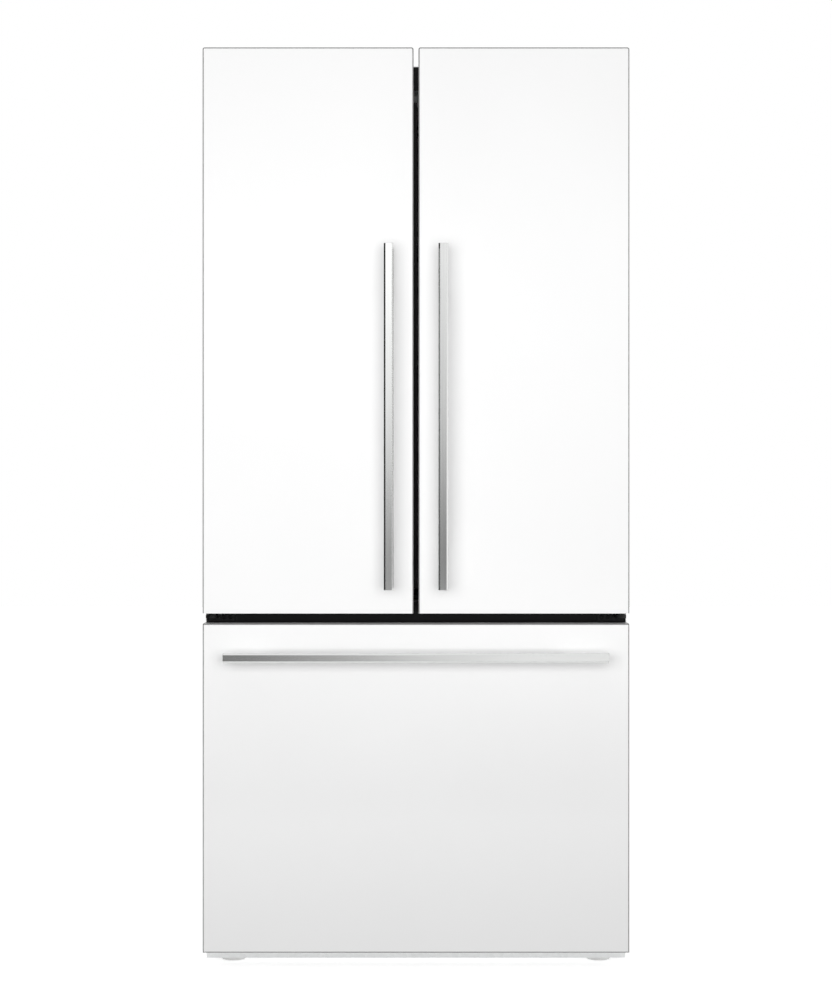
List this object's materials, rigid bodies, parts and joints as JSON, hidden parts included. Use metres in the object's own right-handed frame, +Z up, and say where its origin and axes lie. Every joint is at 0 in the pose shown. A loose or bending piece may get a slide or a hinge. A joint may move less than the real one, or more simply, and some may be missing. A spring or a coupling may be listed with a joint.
{
  "type": "french door refrigerator",
  "caption": "Upright refrigerator: side-by-side hinged fresh-food doors above a full-width freezer drawer, in white enamelled steel with brushed square bar handles.",
  "frame": {"origin": "centre of the footprint, handles included, on the floor", "axes": "+Z up, front and handles towards -Y, +X to the right seen from the front"},
  "size_m": [0.79, 0.695, 1.706],
  "materials": {
    "door_enamel": "gloss",
    "handle_steel": "satin",
    "cabinet_paint": "satin",
    "plated_steel": "satin",
    "black_trim": "satin",
    "black_steel": "satin",
    "liner_plastic": "gloss",
    "cap_plastic": "satin",
    "cover_plastic": "matte",
    "seal_rubber": "matte",
    "insulation_foam": "matte",
    "shelf_glass": "gloss",
    "shelf_plastic": "satin",
    "clear_plastic": "gloss",
    "bin_plastic": "satin",
    "control_plastic": "satin",
    "button_plastic": "satin",
    "lamp_plastic": "gloss",
    "compressor_paint": "satin",
    "condenser_paint": "matte",
    "fin_aluminium": "satin",
    "fan_plastic": "satin",
    "slide_steel": "satin",
    "roller_nylon": "satin",
    "foot_steel": "satin",
    "damper_rubber": "matte"
  },
  "bodies": {
    "cabinet": {"left_side_panel": "cabinet_paint", "right_side_panel": "cabinet_paint", "top_panel": "cabinet_paint", "back_panel": "plated_steel", "base_pan": "plated_steel", "face_frame": "black_trim", "cabinet_foam": "insulation_foam", "fridge_liner": "liner_plastic", "freezer_liner": "liner_plastic", "top_hinges": "black_steel", "centre_hinges": "black_steel", "hinge_covers": "cover_plastic", "shelf_panes": "shelf_glass", "shelf_trims": "shelf_plastic", "left_crisper": "clear_plastic", "right_crisper": "clear_plastic", "air_duct": "liner_plastic", "control_panel": "control_plastic", "lamp_lens": "lamp_plastic", "compressor": "compressor_paint", "compressor_grommets": "damper_rubber", "condenser": "condenser_paint", "condenser_fan_frame": "fan_plastic", "drain_pan": "fan_plastic", "compressor_cover": "plated_steel", "evaporator": "fin_aluminium", "freezer_back_cover": "liner_plastic", "cabinet_slides": "slide_steel", "cord_gland": "fan_plastic"},
    "left_door": {"left_door_skin": "door_enamel", "left_door_caps": "cap_plastic", "left_door_liner": "liner_plastic", "left_door_foam": "insulation_foam", "left_door_gasket": "seal_rubber", "left_door_bins": "clear_plastic", "left_handle": "handle_steel"},
    "right_door": {"right_door_skin": "door_enamel", "right_door_caps": "cap_plastic", "right_door_liner": "liner_plastic", "right_door_foam": "insulation_foam", "right_door_gasket": "seal_rubber", "right_door_bins": "clear_plastic", "right_handle": "handle_steel"},
    "centre_flap": {"mullion_flap": "black_trim"},
    "freezer_drawer": {"drawer_skin": "door_enamel", "drawer_liner": "liner_plastic", "drawer_foam": "insulation_foam", "drawer_gasket": "seal_rubber", "drawer_handle": "handle_steel", "drawer_frame": "slide_steel", "freezer_bin": "bin_plastic"},
    "slide_members": {"middle_slides": "slide_steel"},
    "tray": {"freezer_tray": "bin_plastic"},
    "warmer_key": {"warmer_button": "button_plastic"},
    "cooler_key": {"cooler_button": "button_plastic"},
    "freezer_fan": {"evaporator_fan_rotor": "fan_plastic"},
    "machine_fan": {"condenser_fan_rotor": "fan_plastic"},
    "rollers": {"rear_rollers": "roller_nylon"},
    "left_leveller": {"left_foot": "foot_steel"},
    "right_leveller": {"right_foot": "foot_steel"}
  },
  "joints": [
    {"name": "left_door_swing", "type": "hinge", "parent": "cabinet", "child": "left_door", "pos_m": [-0.3815, -0.262, 0.66], "axis": [0, 0, -1], "range_deg": [0, 120]},
    {"name": "right_door_swing", "type": "hinge", "parent": "cabinet", "child": "right_door", "pos_m": [0.3815, -0.262, 0.66], "axis": [0, 0, 1], "range_deg": [0, 120]},
    {"name": "flap_fold", "type": "hinge", "parent": "left_door", "child": "centre_flap", "pos_m": [-0.037, -0.2315, 0.702], "axis": [0, 0, 1], "range_deg": [0, 90]},
    {"name": "drawer_slide", "type": "slide", "parent": "cabinet", "child": "freezer_drawer", "axis": [0, -1, 0], "range_m": [0, 0.36]},
    {"name": "middle_slide", "type": "slide", "parent": "cabinet", "child": "slide_members", "axis": [0, -1, 0], "range_m": [0, 0.18]},
    {"name": "tray_slide", "type": "slide", "parent": "freezer_drawer", "child": "tray", "axis": [0, -1, 0], "range_m": [0, 0.14]},
    {"name": "warmer_press", "type": "slide", "parent": "cabinet", "child": "warmer_key", "axis": [0, 1, 0], "range_m": [0, 0.001], "stiffness_N_per_m": 400},
    {"name": "cooler_press", "type": "slide", "parent": "cabinet", "child": "cooler_key", "axis": [0, 1, 0], "range_m": [0, 0.001], "stiffness_N_per_m": 400},
    {"name": "freezer_fan_spin", "type": "hinge", "parent": "cabinet", "child": "freezer_fan", "pos_m": [0, 0.142, 0.56], "axis": [0, 1, 0], "continuous": true},
    {"name": "machine_fan_spin", "type": "hinge", "parent": "cabinet", "child": "machine_fan", "pos_m": [-0.032, 0.262, 0.165], "axis": [1, 0, 0], "continuous": true},
    {"name": "rear_rollers_spin", "type": "hinge", "parent": "cabinet", "child": "rollers", "pos_m": [0, 0.29, 0.02], "axis": [1, 0, 0], "continuous": true},
    {"name": "left_foot_turn", "type": "hinge", "parent": "cabinet", "child": "left_leveller", "pos_m": [-0.345, -0.2, 0], "axis": [0, 0, 1], "continuous": true},
    {"name": "right_foot_turn", "type": "hinge", "parent": "cabinet", "child": "right_leveller", "pos_m": [0.345, -0.2, 0], "axis": [0, 0, 1], "continuous": true}
  ],
  "couplings": [
    {"joint": "flap_fold", "follows": "left_door_swing", "ratio": 0.75},
    {"joint": "middle_slide", "follows": "drawer_slide", "ratio": 0.5}
  ]
}
